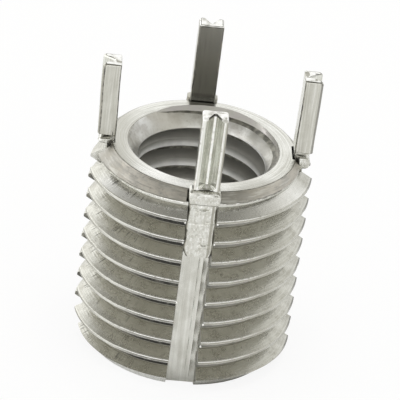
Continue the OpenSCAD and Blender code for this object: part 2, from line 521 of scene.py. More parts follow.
@finish
def struck_metal(f, x, y, z, r):
    """Metal upset by the staking punch: mottled and lumpy."""
    lumps = f.noise(x, y, z, scale=2.6, rough=0.6)
    fine = f.noise(x * 2.0, y * 2.0, z, scale=5.0, rough=0.6)
    colour = f.coats(
        STEEL,
        (lumps.ramp(0.35, 0.65), STEEL_LIGHT),
        (fine.ramp(0.54, 0.66) * 0.7, BURNISHED_AND_HIGHLIGHT),
        (fine.ramp(0.44, 0.3) * 0.6, STEEL_DULL))
    return f.metal(colour, lumps * 0.15 + 0.2, lumps + fine * 0.4, 0.03, 0.8)


@finish
def sheared_end(f, x, y, z, r):
    """Broken grain where a key was cropped to length: bright and clouded."""
    clouds = f.noise(x, y, z, scale=1.8, rough=0.55)
    broken = f.noise(x, y, z, scale=5.0, detail=4.0)
    colour = f.mix(clouds.ramp(0.46, 0.66) * 0.7, BURNISHED_AND_HIGHLIGHT, STEEL_DULL)
    return f.metal(colour, broken * 0.15 + 0.22, broken + clouds, 0.02, metallic=0.45)


# -------- mesh toolkit

def grain(*place):
    """Smooth repeatable noise from -1 to 1."""
    return noise.noise(Vector(place))


def rounded(points, radii, steps=3):
    """An open or closed outline's corners turned into short arcs, end points left sharp."""
    outline = []
    count = len(points)
    for i, (point, radius) in enumerate(zip(points, radii)):
        corner = Vector(point)
        if radius == 0:
            outline.append(tuple(corner))
            continue
        before = (Vector(points[i - 1]) - corner).normalized()
        after = (Vector(points[(i + 1) % count]) - corner).normalized()
        half = before.angle(after) / 2
        cut = radius / tan(half)
        middle = corner + (before + after).normalized() * (radius / sin(half))
        first = corner + before * cut - middle
        last = corner + after * cut - middle
        for k in range(steps + 1):
            outline.append(tuple(middle + first.slerp(last, k / steps) * radius))
    return outline


def add_object(name, data):
    """Puts a mesh, lamp or camera in the scene."""
    body = bpy.data.objects.new(name, data)
    bpy.context.collection.objects.link(body)
    return body


def new_object(name, points, faces, finishes, face_finish=None):
    """A mesh object from points in millimetres."""
    mesh = bpy.data.meshes.new(name)
    mesh.from_pydata([tuple(c * MM for c in p) for p in points], [], faces)
    for finish in finishes:
        mesh.materials.append(finish)
    if face_finish is not None:
        mesh.polygons.foreach_set("material_index", face_finish)
    mesh.update()
    return add_object(name, mesh)


def carve(target, tool, operation):
    """Applies a boolean with a tool, then throws the tool away."""
    cut = target.modifiers.new("carve", "BOOLEAN")
    cut.operation = operation
    cut.object = tool
    cut.solver = "EXACT"
    seen = target.evaluated_get(bpy.context.evaluated_depsgraph_get())
    mesh = bpy.data.meshes.new_from_object(seen)
    target.modifiers.clear()
    old = target.data
    target.data = mesh
    bpy.data.meshes.remove(old)
    bpy.data.objects.remove(tool)


def smooth_but_sharp(piece, degrees):
    """Smooth shading, with edges sharper than the angle kept crisp."""
    mesh = piece.data
    mesh.set_sharp_from_angle(angle=radians(degrees))
    mesh.polygons.foreach_set("use_smooth", [True] * len(mesh.polygons))
    mesh.update()


def loft(name, rings, finishes, marks, first_cap, last_cap):
    """A skin over closed rings of points, with a finish for each face and for both caps.

    Where the rings are stacked upwards, their points run clockwise seen from above.
    """
    count, last = len(rings[0]), len(rings) - 1
    faces = []
    for i in range(last):
        for j in range(count):
            a, b = i * count + j, i * count + (j + 1) % count
            faces.append((a, a + count, b + count, b))
    faces.append(tuple(range(count)))
    faces.append(tuple(reversed(range(last * count, (last + 1) * count))))
    points = [point for ring in rings for point in ring]
    return new_object(name, points, faces, finishes, marks + [first_cap, last_cap])


def revolve(name, outline, segments, finishes, finish_of):
    """A closed outline of (radius, height) points turned about the axis."""
    count = len(outline)
    points = []
    for i in range(segments):
        a = TAU * i / segments
        points += [(r * cos(a), r * sin(a), z) for r, z in outline]
    faces, marks = [], []
    for i in range(segments):
        here, there = i * count, (i + 1) % segments * count
        for j in range(count):
            k = (j + 1) % count
            faces.append((here + j, there + j, there + k, here + k))
            marks.append(finish_of(outline[j], outline[k]))
    return new_object(name, points, faces, finishes, marks)


def ridge_section(low_r, high_r, edge, strips):
    """Points across a rounded ridge, from root to root, and the finish after each."""
    flank, under, flat, lower, upper, root = strips
    foot = CREST_FLAT + (high_r - low_r) * FLANK
    corners = [(low_r, -foot), (high_r, -CREST_FLAT), (high_r, CREST_FLAT), (low_r, foot)]
    section = [Vector(p) for p in rounded(corners, [0, edge * 0.7, edge, 0])]
    down = (Vector(corners[3]) - Vector(corners[2])).normalized()
    shoulder = section[8] + down * 0.045
    before_root = section[9] - down * 0.07
    points = [section[0], section[0].lerp(section[1], 0.5), *section[1:9], shoulder,
              shoulder.lerp(before_root, 0.5), before_root, section[9]]
    marks = [under] * 2 + [lower] * 3 + [flat] + [upper] * 4 + [flank] * 2 + [root]
    return points, marks


def core_faces(count, steps, facets):
    """Faces of a threaded core: its ridge, the flats between turns, and the closed ends."""
    faces = []
    for i in range(steps):
        a, b = i * count, (i + 1) * count
        faces += [(a + j, b + j, b + j + 1, a + j + 1) for j in range(count - 1)]
    for i in range(steps - facets):
        low, high = (i + 1) * count - 1, (i + facets) * count
        faces.append((low, low + count, high + count, high))
    low_tip = (steps + 1) * count
    faces += [(low_tip, (i + 1) * count, i * count) for i in range(facets)]
    ends = [*range(count), facets * count]
    faces += [(low_tip, ends[j], ends[j + 1]) for j in range(count)]
    faces += [(low_tip + 1, (i + 1) * count - 1, (i + 2) * count - 1)
              for i in range(steps - facets, steps)]
    ends = [(steps - facets + 1) * count - 1, *range(steps * count, low_tip)]
    faces += [(low_tip + 1, ends[j + 1], ends[j]) for j in range(count)]
    return faces


def threaded_core(name, low_r, high_r, start, facets, edge, finishes, strips, wear):
    """A core with a right-handed ridge, rounded at its crest, longer than the sleeve.

    strips names the finishes of the upper and lower flank, the crest flat, its lower and
    upper corner, and the root. wear gives each point's shift outwards and upwards.
    """
    section, marks = ridge_section(low_r, high_r, edge, strips)
    first = -2
    turns = ceil(SLEEVE_LENGTH / PITCH) + 3
    steps = turns * facets
    points = []
    for i in range(steps + 1):
        t = first + i / facets
        a = TAU * t
        for r, dz in section:
            dr, lift = wear(a, t, r)
            height = start + PITCH * t + dz + lift
            points.append(((r + dr) * cos(a), (r + dr) * sin(a), height))
    points += [(0, 0, start + PITCH * t) for t in (first - 1, first + turns + 1)]
    faces = core_faces(len(section), steps, facets)
    face_marks = marks * steps
    face_marks += [strips[-1]] * (len(faces) - len(face_marks))
    return new_object(name, points, faces, finishes, face_marks)


def between_rows(rows, place):
    """Linear interpolation in a table whose first column is the place."""
    if place <= rows[0][0]:
        return rows[0][1:]
    for low, high in zip(rows, rows[1:]):
        if place <= high[0]:
            t = (place - low[0]) / (high[0] - low[0])
            return tuple(a + (b - a) * t for a, b in zip(low[1:], high[1:]))
    return rows[-1][1:]


def eased(value):
    value = min(1.0, max(0.0, value))
    return value * value * (3 - 2 * value)


# -------- sleeve

(THREAD, CREST, BRIGHT, ROOT, FACED, CONE, BORE, BROACHED, CHAMFER, UNDERSIDE, SHADED,
 STEP_WALL, POCKET) = range(13)

# The step in the mouth by angle: height of its foot, then radius of its outer edge.
STEP_ROWS = [
    (-20, 11.60), (4, 11.74), (27, 11.75), (48, 11.78), (67, 11.78), (100, 11.84),
    (118, 11.88), (128, 11.97)]
STEP_LIP_ROWS = [
    (-20, 4.08), (10, 4.10), (29, 4.15), (43, 4.25), (54, 4.37), (63, 4.47), (71, 4.52),
    (90, 4.46), (113, 4.34), (128, 4.12)]

# Crest metal pushed over the edges of the front slot: side, height.
SLOT_BURRS = [
    (-0.90, 10.49), (0.79, 10.55), (0.76, 9.33), (-0.89, 9.27), (-0.81, 5.58), (0.75, 5.61),
    (0.74, 4.35), (0.76, 2.97)]

# Lines that the broach left along the floor of each slot, to the right of its middle.
BROACH_LINES = (0.21, 0.45)


def crest_wear(a, t, r):
    """Small unevenness of the outside crests."""
    c, s = cos(a), sin(a)
    depth = (r - OUTSIDE_ROOT_R) / (CREST_R - OUTSIDE_ROOT_R)
    lift = 0.014 * grain(c * 9, s * 9, t * 2.1) * depth ** 2
    nick = max(0.0, grain(c * 16, s * 16, t * 3.7 + 9) - 0.35) * 0.09 * depth ** 4
    return -nick - 0.004 * depth * (1 + grain(c * 3, s * 3, t + 4)), lift


def bore_wear(a, t, r):
    """Torn spots on the inside crests."""
    c, s = cos(a), sin(a)
    torn = max(0.0, grain(c * 5, s * 5, t * 2.9) - 0.1) * 0.06
    return torn * 0.3, torn * grain(c * 14, s * 14, t)


def turned_blank(finishes):
    """The lathe-turned shape before threading, its outside clear of the crests."""
    corners = [  # radius, height, rounding
        (BORE_R, BORE_FOOT_CHAMFER, 0),
        (BORE_R + BORE_FOOT_CHAMFER, 0, 0.03),
        (FOOT_R, 0, 0.03),
        (CLEAR_R, CLEAR_R - FOOT_R, 0),
        (CLEAR_R, SLEEVE_LENGTH - (CLEAR_R - LIP_R), 0),
        (LIP_R, SLEEVE_LENGTH, 0.06),
        (MOUTH_R, SLEEVE_LENGTH, 0.04),
        (BORE_R, SLEEVE_LENGTH - MOUTH_DEPTH, 0.03),
    ]
    outline = rounded([c[:2] for c in corners], [c[2] for c in corners])

    def finish_of(p, q):
        low, high = sorted((p[0], q[0]))
        tilt = abs(p[1] - q[1])
        if min(p[1], q[1]) < 1:
            return BORE if high - low < 1e-6 and high < MOUTH_R else FACED
        if high < MOUTH_R + 0.02:
            return CONE if high - low > 0.05 else BORE if high < BORE_R + 0.01 else BRIGHT
        if tilt < 1e-4:
            return FACED
        # The rounded lip between the top face and the chamfer carries a thin line of painted
        # shade.
        return SHADED if tilt < 0.05 and low < LIP_R + 0.05 else CHAMFER
    return revolve("turned_blank", outline, 288, finishes, finish_of)


def under_mouth(finishes):
    """A drum that ends the inside thread just under the mouth."""
    axis, wide, low = 0.001, 5.0, -3.0
    outline = [(axis, low), (wide, low), (wide, MOUTH_FOOT), (axis, MOUTH_FOOT)]
    return revolve("under_mouth", outline, 96, finishes, lambda p, q: BORE)


def mouth_step(finishes):
    """The last turn of the inside tool, running out as a step in the mouth."""
    first, last, steps = -20, 128, 74
    inside_r, foot_r, above = 3.2, 3.55, 13.0
    rings = []
    for i in range(steps + 1):
        d = first + (last - first) * i / steps
        z, = between_rows(STEP_ROWS, d)
        lip, = between_rows(STEP_LIP_ROWS, d)
        low = z - (MOUTH_STEP_R - foot_r) * FLANK
        section = [(inside_r, low), (foot_r, low), (MOUTH_STEP_R, z),
                   (lip, SLEEVE_LENGTH - 0.01), (lip, above), (inside_r, above)]
        a = radians(d)
        rings.append([(r * cos(a), r * sin(a), h) for r, h in section])
    # The slope up to the step's edge carries painted shade.
    marks = [BORE, SHADED, STEP_WALL, STEP_WALL, BORE, BORE] * steps
    return loft("mouth_step", rings, finishes, marks, BORE, BORE)


def slot_tool(angle, finishes):
    """Cutter for one slot and its widened mouth, as a loft of cross sections."""
    top_r = CREST_R + 0.8
    step = 0.06
    shift = FRONT_SHIFT if angle == KEY_ANGLES["key_front"] else 0.0
    levels = [step * i for i in range(-3, int(SLEEVE_LENGTH / step) + 4)]
    levels = [z for z in levels if abs(z - POCKET_Z) > 0.05]
    levels = sorted([-1.0, *levels, POCKET_Z - 0.03, POCKET_Z + 0.03, SLEEVE_LENGTH + 1])
    turn = Matrix.Rotation(radians(angle), 3, "Z")
    rings, marks = [], []
    for z in levels:
        in_pocket = z > POCKET_Z
        floor = SLOT_FLOOR_R - POCKET_FLOOR * in_pocket
        ridge = 0.012 + 0.003 * grain(angle, z * 0.4, 2.5)
        wander = [
            shift + 0.006 * grain(angle, z * 2.3, slow) + 0.005 * grain(angle, z * 9, quick)
            for slow, quick in ((1.0, 5), (7.0, 3))]
        wall = [  # radius, half width
            (r, SLOT_HALF + SLOT_FLARE * flare + POCKET_SIDE * in_pocket * widened)
            for r, flare, widened in (
                (top_r, 1.6, 1), (CREST_R, 1.0, 1), (floor + 0.2, 0.2, 1),
                (floor + 0.14, 0.1, 0), (floor + 0.04, 0.0, 0))]
        left = [(r, wander[0] - half) for r, half in wall]
        right = [(r, wander[1] + half) for r, half in reversed(wall)]
        lines = [(floor + rise, shift + line + aside) for line in BROACH_LINES
                 for rise, aside in ((0, -0.03), (ridge, 0), (0, 0.03))]
        section = [*left, (floor, wander[0] - SLOT_HALF + 0.05), *lines,
                   (floor, wander[1] + SLOT_HALF - 0.05), *right]
        rings.append([turn @ Vector((r, t, z)) for r, t in section])
        # Slot walls carry painted shade, except the left slot's walls high up, which are painted
        # light.
        unshaded = angle == KEY_ANGLES["key_left"] and z > UNSHADED_FROM
        side = POCKET if unshaded else SHADED
        marks += [side] * 4 + [BROACHED] * 9 + [side] * 5
    return loft("slot_tool", rings, finishes, marks[:-len(section)], BROACHED, BROACHED)


def lump(place, size, seed, finish, finishes):
    """A small rough lump of smeared metal."""
    mesh = bmesh.new()
    bmesh.ops.create_icosphere(mesh, subdivisions=3, radius=1.0)
    points = []
    for vertex in mesh.verts:
        swell = 1 + 0.35 * grain(*(vertex.co * 1.7 + Vector((seed, 0, 0))))
        points.append(tuple(p + c * s * swell for p, c, s in zip(place, vertex.co, size)))
    faces = [tuple(v.index for v in face.verts) for face in mesh.faces]
    mesh.free()
    return new_object("lump", points, faces, finishes, [finish] * len(faces))


def slot_burrs(finishes):
    """Lumps of crest metal pushed over the edges of the front slot."""
    lumps = []
    for k, (side, z) in enumerate(SLOT_BURRS):
        size = 0.05 + 0.015 * grain(k * 1.7, 2.0, 0.0)
        place = (side, -sqrt(CREST_R ** 2 - side ** 2) + 0.03, z)
        lumps.append(lump(place, (size, size * 0.8, size * 1.5), k, BRIGHT, finishes))
    return lumps


def clipped_edge(degrees):
    """Radius and height where the top chamfer cuts the lower flank of the last ridge."""
    middle = OUTSIDE_START + PITCH * (LAST_TURN + degrees / 360)
    cone = LIP_R + SLEEVE_LENGTH
    r = (cone - middle + CREST_FLAT + CREST_R * FLANK) / (1 + FLANK)
    return r, cone - r


def torn_edge(first, last, drop, finishes):
    """The burr that the chamfering tool rolled over the clipped ridge: a torn skirt."""
    steps = int((last - first) * 2.5)
    rings = []
    for i in range(steps + 1):
        d = first + (last - first) * i / steps
        c, s = cos(radians(d)), sin(radians(d))
        r, z = clipped_edge(d)
        ends = min(1.0, (i + 0.2) / 6, (steps - i + 0.2) / 6)
        r += 0.012 * grain(d * 0.19, drop, 5.0)
        z += 0.015 * grain(d * 0.23, drop, 9.0)
        hang = ends * (drop + 0.35 * drop * grain(d * 0.31, drop, 2.0))
        hang += ends * 0.012 * grain(d * 1.3, drop, 7.0)
        thick = 0.020 + 0.014 * grain(d * 0.27, drop, 4.0)
        section = [(0.0, 0.02), (0.018, 0.0), (0.012, -0.45 * hang), (0.012, -0.75 * hang),
                   (thick, -hang), (0.0, -hang - 0.02), (-0.03, -hang), (-0.05, 0.0)]
        rings.append([((r + dr) * c, (r + dr) * s, z + dz) for dr, dz in section])
    # Painted shade along the skirt's top and bottom edges, duller as shade just below the top and
    # on the inside, and a painted highlight over the lower outer face.
    marks = [SHADED, UNDERSIDE, BRIGHT, BRIGHT, BRIGHT, SHADED, UNDERSIDE, UNDERSIDE] * steps
    return loft("torn_edge", rings, finishes, marks, BRIGHT, BRIGHT)


def join(target, others):
    """Joins other meshes into the target mesh."""
    mesh = bmesh.new()
    mesh.from_mesh(target.data)
    for other in others:
        mesh.from_mesh(other.data)
        bpy.data.objects.remove(other)
    mesh.to_mesh(target.data)
    mesh.free()


def build_sleeve(finishes):
    sleeve = turned_blank(finishes)
    # The outside thread: painted highlights on the crest corners, painted shade at the roots, and
    # the lower flanks painted duller as shade.
    outside = threaded_core(
        "outside_core", OUTSIDE_ROOT_R, CREST_R, OUTSIDE_START, 180, 0.045, finishes,
        (THREAD, UNDERSIDE, CREST, BRIGHT, BRIGHT, ROOT), crest_wear)
    carve(sleeve, outside, "INTERSECT")
    # The bottoms of the inside thread's grooves carry painted shade.
    inside = threaded_core(
        "inside_core", INSIDE_VALLEY_R, INSIDE_R, INSIDE_START, 120, 0.03, finishes,
        (BORE, BORE, SHADED, SHADED, BORE, BORE), bore_wear)
    carve(inside, under_mouth(finishes), "INTERSECT")
    carve(sleeve, inside, "DIFFERENCE")
    carve(sleeve, mouth_step(finishes), "DIFFERENCE")
    for angle in KEY_ANGLES.values():
        carve(sleeve, slot_tool(angle, finishes), "DIFFERENCE")
    skirts = [(-162, -99, 0.085), (-80, -40, 0.06)]  # first and last angle, length
    join(sleeve, slot_burrs(finishes) + [torn_edge(*skirt, finishes) for skirt in skirts])
    sleeve.name = "threaded_sleeve"
    smooth_but_sharp(sleeve, SHARP_FROM)
    return sleeve


# -------- keys

# On the keys the dark and dull strips are painted shade, and the line strips are painted
# highlights.
DRAWN, SHEARED, LINE, DULL, PAINTED_SHADE, STRUCK, LAND, INNER = range(8)

# How far the side keys lean in towards the axis at the foot of the bar.
KEY_LEAN = {"key_left": 0.09, "key_right": 0.045}

# How far out and how strongly the sides of a collar swell.
FLARE_STEPS = [(0.06, 0.0), (0.18, 0.5), (0.34, 1.0), (0.75, 1.0)]

# Foot and top of each key's collar.
COLLAR_SPANS = dict.fromkeys(KEY_ANGLES, (COLLAR_FOOT, COLLAR_HEAD))
COLLAR_SPANS.update(key_left=(11.90, 12.32), key_right=(11.46, COLLAR_HEAD))

# Outer radius of the side keys by height, from the foot to the foot of the bar.
KEY_DEPTHS = {"key_left": [
    (0.00, SUNK_OUT_R - 0.08), (8.30, SUNK_OUT_R - 0.05), (11.90, SUNK_OUT_R - 0.05),
    (11.96, 5.46), (12.00, 5.62), (12.08, 5.69), (12.20, 5.69), (12.26, 5.62), (12.29, 5.36),
    (12.305, 5.12), (12.32, 5.14), (12.34, 5.40), (12.36, 5.64), (12.40, 5.80), (12.46, KEY_OUT_R),
], "key_right": [
    (0.00, SUNK_OUT_R - 0.08), (8.30, SUNK_OUT_R), (11.46, SUNK_OUT_R), (11.52, 5.50),
    (11.58, 5.62), (11.68, 5.70), (11.90, 5.72), (12.04, 5.69), (12.13, 5.60), (12.18, 5.46),
    (12.20, 5.20), (12.215, 5.02), (12.23, 5.04), (12.26, 5.30), (12.29, 5.60), (12.33, 5.78),
    (12.38, KEY_OUT_R - 0.02), (12.42, KEY_OUT_R),
]}

# The same for the front and back keys.
COMMON_DEPTHS = [
    (0.00, SUNK_OUT_R - 0.08), (8.30, SUNK_OUT_R), (COLLAR_FOOT - 0.02, SUNK_OUT_R),
    (COLLAR_FOOT + 0.06, COLLAR_OUT_R - 0.08), (COLLAR_FOOT + 0.16, COLLAR_OUT_R),
    (12.02, COLLAR_OUT_R), (12.14, COLLAR_OUT_R - 0.08), (12.22, COLLAR_OUT_R - 0.24),
    (12.26, KEY_IN_R + 0.25), (12.30, KEY_IN_R + 0.32), (12.35, KEY_IN_R + 0.50),
    (12.40, KEY_OUT_R - 0.22), (LEDGE_Z, KEY_OUT_R - 0.02), (12.50, KEY_OUT_R),
]

# Staked edges of the front key: height, left side, right side.
FRONT_SIDES = [
    (8.15, -0.62, 0.66), (8.24, -0.66, 0.70), (8.41, -0.77, 0.755), (8.65, -0.79, 0.76),
    (8.90, -0.78, 0.765), (9.00, -0.77, 0.77), (9.15, -0.76, 0.76), (9.30, -0.79, 0.75),
    (9.63, -0.795, 0.75), (9.91, -0.795, 0.75), (10.13, -0.795, 0.77), (10.29, -0.795, 0.77),
    (10.39, -0.795, 0.75), (10.70, -0.79, 0.74), (11.00, -0.76, 0.73), (11.22, -0.77, 0.74),
    (11.38, -0.76, 0.72), (11.50, -0.79, 0.79), (11.67, -0.82, 0.83), (11.97, -0.86, 0.83),
    (12.14, -0.86, 0.80), (12.22, -0.76, 0.70), (12.28, -0.60, 0.58), (12.34, -0.62, 0.62),
    (12.44, -0.68, 0.68),
]

# Marks on the front key's outer face: side, height, reach sideways and along, relief.
FRONT_MARKS = [
    (-0.06, 11.03, 0.42, 0.035, -0.07), (-0.38, 10.90, 0.14, 0.05, -0.05),
    (-0.01, 11.15, 0.22, 0.05, 0.05), (0.02, 10.93, 0.25, 0.05, 0.03),
    (-0.31, 10.16, 0.45, 0.05, -0.035), (0.34, 10.28, 0.45, 0.05, -0.04),
    (0.59, 10.23, 0.25, 0.06, 0.04), (-0.06, 10.09, 0.50, 0.04, 0.02),
    (-0.21, 9.44, 0.055, 0.06, -0.05), (0.18, 9.27, 0.13, 0.03, -0.04),
    (0.26, 8.89, 0.36, 0.04, -0.06), (0.28, 8.75, 0.20, 0.05, 0.05),
    (-0.07, 9.33, 0.035, 0.32, 0.02), (-0.06, 8.66, 0.05, 0.14, 0.03),
    (0.31, 8.58, 0.06, 0.06, -0.03), (-0.36, 10.53, 0.09, 0.22, -0.03),
    (0.52, 10.53, 0.12, 0.3, -0.025), (-0.61, 12.15, 0.16, 0.09, 0.04),
    (0.51, 12.10, 0.12, 0.06, -0.06), (0.75, 12.12, 0.07, 0.10, 0.05),
    (-0.41, 12.10, 0.10, 0.06, -0.04), (-0.11, 12.16, 0.16, 0.06, 0.04),
    (0.21, 12.16, 0.18, 0.06, 0.035), (0.01, 11.66, 0.12, 0.06, -0.02),
    (-0.12, 13.21, 0.045, 0.05, -0.05), (0.56, 11.61, 0.10, 0.08, -0.025),
    (-0.49, 11.86, 0.12, 0.07, -0.02), (0.31, 11.91, 0.12, 0.1, 0.02),
]

# Patches of painted shade on the caps, where they are sheared and folded: radius, side, reach out
# and sideways, finish.
CAP_MARKS = {
    "key_left": [
        (5.52, -0.24, 0.20, 0.09, PAINTED_SHADE), (5.00, 0.24, 0.17, 0.13, DULL),
        (5.20, 0.10, 0.10, 0.07, DULL)],
    "key_right": [
        (4.99, 0.22, 0.13, 0.34, DULL), (5.10, -0.17, 0.26, 0.035, PAINTED_SHADE),
        (5.58, 0.36, 0.17, 0.08, PAINTED_SHADE), (5.48, -0.34, 0.05, 0.16, DULL)],
    "key_back": [(5.30, -0.05, 0.10, 0.12, DULL)],
    "key_front": [(5.02, 0.30, 0.05, 0.25, DULL), (5.60, 0.55, 0.12, 0.05, DULL)],
}


def key_outline(left, right, out_r, groove, flare):
    """Points round a key, clockwise seen from above, from the middle of the inner face.

    Each is a radius, a side, and the finish of the strip that follows it.
    """
    in_r = KEY_IN_R
    round_in = 0.06
    floor_r = out_r - GROOVE_DEPTH * groove
    deep = out_r - 0.2 - in_r
    swells = [(in_r + round_in + deep * t, flare * part) for t, part in FLARE_STEPS]
    right_edge, left_edge = right + flare, left - flare
    right_lip = min(GROOVE_HALF, right_edge - 0.24)
    left_lip = max(-GROOVE_HALF, left_edge + 0.17)

    def groove_wall(lip, foot, parts):
        return [(out_r + (floor_r - out_r) * t, lip + (foot - lip) * t, LAND) for t in parts]

    return [
        # Painted shade in the inner corners and along the outer edges, and painted highlights on
        # the edge lines and the groove floor.
        *((in_r, right * 0.18 * i, INNER) for i in range(5)),
        (in_r, right - round_in, PAINTED_SHADE),
        (in_r + round_in * 0.3, right - round_in * 0.3, PAINTED_SHADE),
        (in_r + round_in, right, DRAWN),
        *((r, right + swell, DRAWN) for r, swell in swells),
        (out_r - 0.13, right_edge, PAINTED_SHADE),
        (out_r - 0.06, right_edge - 0.02, DULL),
        (out_r, right_edge - 0.10, LAND),
        (out_r, right_edge - 0.16, LINE),
        (out_r, right_edge - 0.22, DULL),
        *groove_wall(right_lip, GROOVE_FLOOR, (0, 0.33, 0.66)),
        (floor_r, GROOVE_FLOOR, LINE),
        (floor_r - 0.01 * groove, 0.0, LINE),
        (floor_r, -GROOVE_FLOOR, LAND),
        *groove_wall(left_lip, -GROOVE_FLOOR, (0.66, 0.33, 0)),
        (out_r, left_edge + 0.15, LAND),
        (out_r - 0.005, left_edge + 0.08, LINE),
        (out_r - 0.03, left_edge + 0.03, LINE),
        (out_r - 0.08, left_edge, LINE),
        (out_r - 0.13, left_edge, DRAWN),
        *((r, left - swell, DRAWN) for r, swell in reversed(swells)),
        (in_r + round_in, left, PAINTED_SHADE),
        (in_r + round_in * 0.3, left + round_in * 0.3, PAINTED_SHADE),
        (in_r, left + round_in, INNER),
        *((in_r, left * 0.18 * i, INNER) for i in range(4, 0, -1)),
    ]


def closed_pairs(points):
    return list(zip(points, points[1:] + points[:1]))


def key_levels(front, top):
    """Heights of a key's rings: close together where its shape changes."""
    spacings = [(11.25, 0.04 if front else 0.1), (12.1, 0.035), (12.55, 0.02), (top, 0.09)]
    levels, z = [], KEY_LOW.z
    while z < top - 0.2:
        levels.append(z)
        z += next(spacing for limit, spacing in spacings if z < limit)
    return levels + [top - 0.15, top - 0.11, top - 0.08, top - RIM_DROP]


def front_relief(r, s, z, out):
    """Depth of the staking marks at a point of the front key."""
    relief = 0.0
    if r > out - 0.25:
        for side, height, reach_s, reach_z, rise in FRONT_MARKS:
            d = ((s - side) / reach_s) ** 2 + ((z - height) / reach_z) ** 2
            if d < 6:
                relief += rise * exp(-d)
    return relief


def key_section(node, z, top, seed):
    """Left and right sides, outer radius, groove and collar swell of a key at a height."""
    out, = between_rows(KEY_DEPTHS.get(node, COMMON_DEPTHS), z)
    groove = eased((z - LEDGE_Z + 0.06) / 0.16)
    foot, head = COLLAR_SPANS[node]
    swell = eased((z - foot) / 0.12) * eased((head - z) / 0.12)
    if node == "key_front" and z < LEDGE_Z:
        left, right = between_rows(FRONT_SIDES, z)
        return left, right, out, groove, 0.0, swell
    half = SUNK_HALF if z < COLLAR_FOOT + 0.05 else BAR_HALF
    if node != "key_back":
        half -= WAIST * eased((z - WAIST_FOOT) / 0.1) * eased((WAIST_HEAD - z) / 0.08)
    flare = (COLLAR_HALF - half) * swell * (0.85 + 0.3 * grain(seed, z * 3, 0))
    tip = max(0.0, (z - top) / TIP_LENGTH + 1) ** 2
    half -= TIP_SIDE * tip
    return -half, half, out - TIP_OUT * tip, groove, flare, swell


def key_ring(node, z, top, seed, parts_of):
    """Points of one ring of a key, unevenly worn."""
    left, right, out, groove, flare, swell = key_section(node, z, top, seed)
    lean = -KEY_LEAN.get(node, 0) * eased((LEAN_HEAD - z) / 3.6) * eased((z - LEAN_FOOT) / 0.3)
    rough = max(swell, 0.5 * (z < COLLAR_FOOT))
    corners = [corner[:2] for corner in key_outline(left, right, out, groove, flare)]
    ring = []
    for (p, q), parts in zip(closed_pairs(corners), parts_of):
        for k in range(parts):
            r, s = (a + (b - a) * k / parts for a, b in zip(p, q))
            relief = 0.0
            if r > KEY_IN_R + (out - KEY_IN_R) * 0.35:
                relief = 0.003 * grain(r * 4 + seed, s * 6, z * 1.5)
                relief += 0.026 * rough * grain(r * 3, s * 5 + seed, z * 4)
                if node == "key_front":
                    relief += front_relief(r, s, z, out)
            ring.append((r + lean + relief, s, z))
    return ring


def cap_rings(rim, top, seed):
    """Rings that close a key's sheared end, drawn in towards the inner face."""
    rings = []
    for step in range(CAP_RINGS):
        scale = 1 - (step + 1) * CAP_STEP
        ring = []
        for edge_r, edge_s, _ in rim:
            r, s = CAP_CENTRE_R + (edge_r - CAP_CENTRE_R) * scale, edge_s * scale
            inward = dist((r, s), (edge_r, edge_s))
            wave = 0.035 * grain(r * 2.3 + seed, s * 2.3, 4) * eased(inward / 0.15)
            crown = 0.035 * eased(inward / 0.06)
            ring.append((r, s, min(top, top - RIM_DROP + crown + wave)))
        rings.append(ring)
    return rings


def build_key(node, angle, finishes):
    """One key: sunk end, upset collar, grooved bar and sheared tip."""
    seed = angle * 0.37 + 3
    top = KEY_HIGH.z - (0.09 if node == "key_left" else 0.0)
    levels = key_levels(node == "key_front", top)
    plain = key_outline(-BAR_HALF, BAR_HALF, KEY_OUT_R, 1.0, 0.0)
    parts_of = [max(1, ceil(dist(p[:2], q[:2]) / 0.07)) for p, q in closed_pairs(plain)]
    marks = [mark for (_, _, mark), parts in zip(plain, parts_of) for _ in range(parts)]
    rings = [key_ring(node, z, top, seed, parts_of) for z in levels]
    rings += cap_rings(rings[-1], top, seed)
    face_marks = []
    for i, ring in enumerate(rings[:-1]):
        z = levels[i] if i < len(levels) else top
        for mark, (r, s, _) in zip(marks, ring):
            face_marks.append(key_finish(node, mark, i - len(levels), z, r, s))
    turn = Matrix.Rotation(radians(angle), 3, "Z")
    rings = [[turn @ Vector(point) for point in ring] for ring in rings]
    piece = loft(node + "_drawn", rings, finishes, face_marks, DRAWN, SHEARED)
    smooth_but_sharp(piece, SHARP_FROM)
    return piece


def key_finish(node, mark, rim, z, r, s):
    """Finish of one face of a key; rim is 0 on the first strip inside the top edge."""
    if rim >= -1:
        return cap_finish(node, rim, r, s)
    # Painted shade under the sheared lip over the front key's groove and under the back key's cap.
    if rim >= -4 and node == "key_front":
        return PAINTED_SHADE if abs(s) < GROOVE_HALF - 0.12 else SHEARED
    if rim >= -4 and node == "key_back":
        return PAINTED_SHADE if rim < -2 else SHEARED
    depth = r - KEY_IN_R
    if depth < 0.05 or mark == INNER:
        return mark
    foot, head = COLLAR_SPANS[node]
    # Painted shade near the inner face low on the side keys, and in bands at the collar's head and
    # foot.
    if any((
            node == "key_left" and mark == DRAWN and depth < 0.10 and z < 12.6,
            node in ("key_left", "key_right") and depth < 0.30 and z < 12.16,
            head - 0.02 < z < head + 0.05,
            foot - 0.02 < z < foot + 0.12 and depth > 0.42)):
        return PAINTED_SHADE
    # Painted shade on the back key's collar and on the sunk end's outer edges.
    if node == "key_back" and COLLAR_FOOT < z < BAR_FOOT and depth < 0.6:
        return DULL
    if z < COLLAR_FOOT and abs(s) > 0.3 and mark in (LINE, DULL):
        return DULL
    if z < BAR_FOOT:
        return STRUCK
    # Painted highlights along the front key's groove low on the bar.
    if node == "key_front" and z < 12.62 and 0.16 < abs(s) < 0.56 and depth > 0.4:
        return LINE
    return mark


